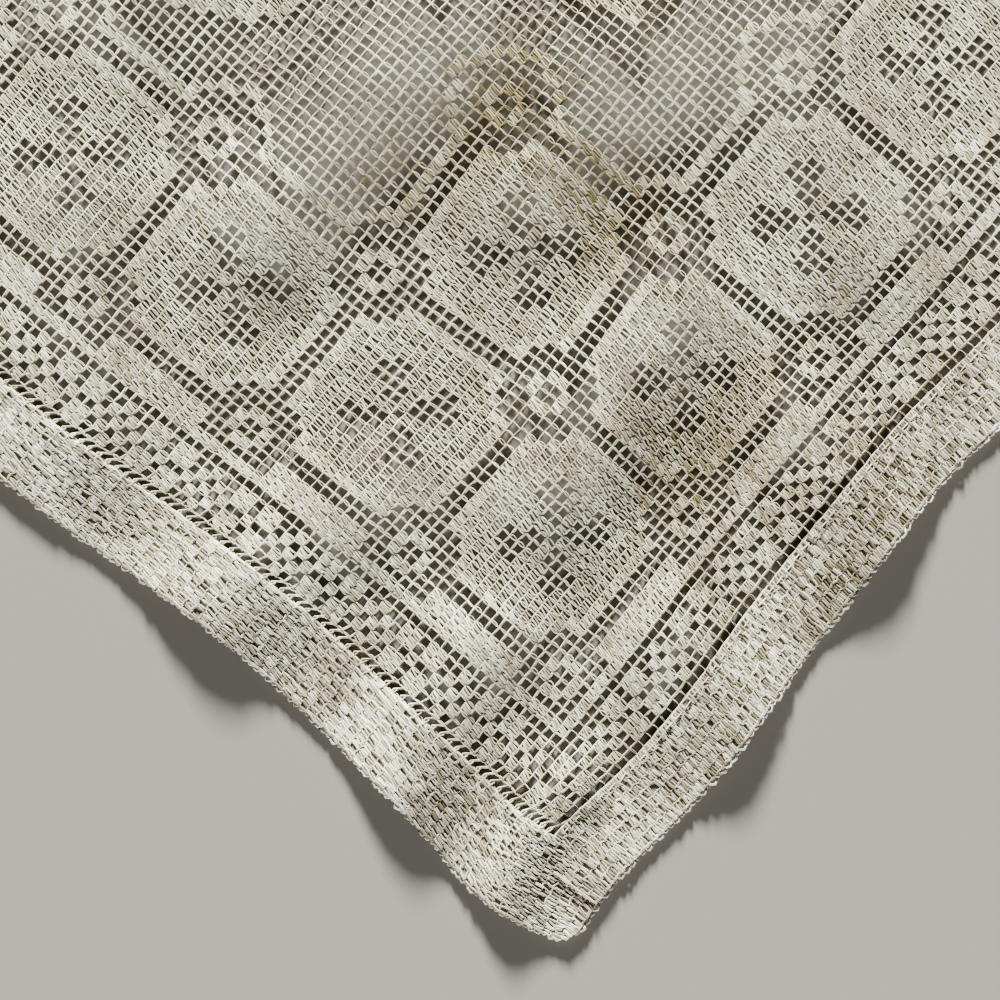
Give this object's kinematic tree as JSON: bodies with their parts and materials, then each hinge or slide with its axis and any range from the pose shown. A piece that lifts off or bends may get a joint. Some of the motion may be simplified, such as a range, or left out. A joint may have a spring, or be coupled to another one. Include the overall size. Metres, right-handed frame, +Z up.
{
  "type": "lace table runner",
  "caption": "Rectangular cotton filet lace table runner with a woven hem, a stepped border and octagonal filled panels, lying softly rumpled.",
  "frame": {"origin": "middle of the runner's underside, on the table plane", "axes": "+X along the runner's length, +Y across its width, +Z up"},
  "size_m": [0.755, 0.3858, 0.0071],
  "materials": {
    "cotton": "matt undyed cotton thread"
  },
  "bodies": {
    "root": {"lace_cloth": "cotton"}
  },
  "joints": []
}
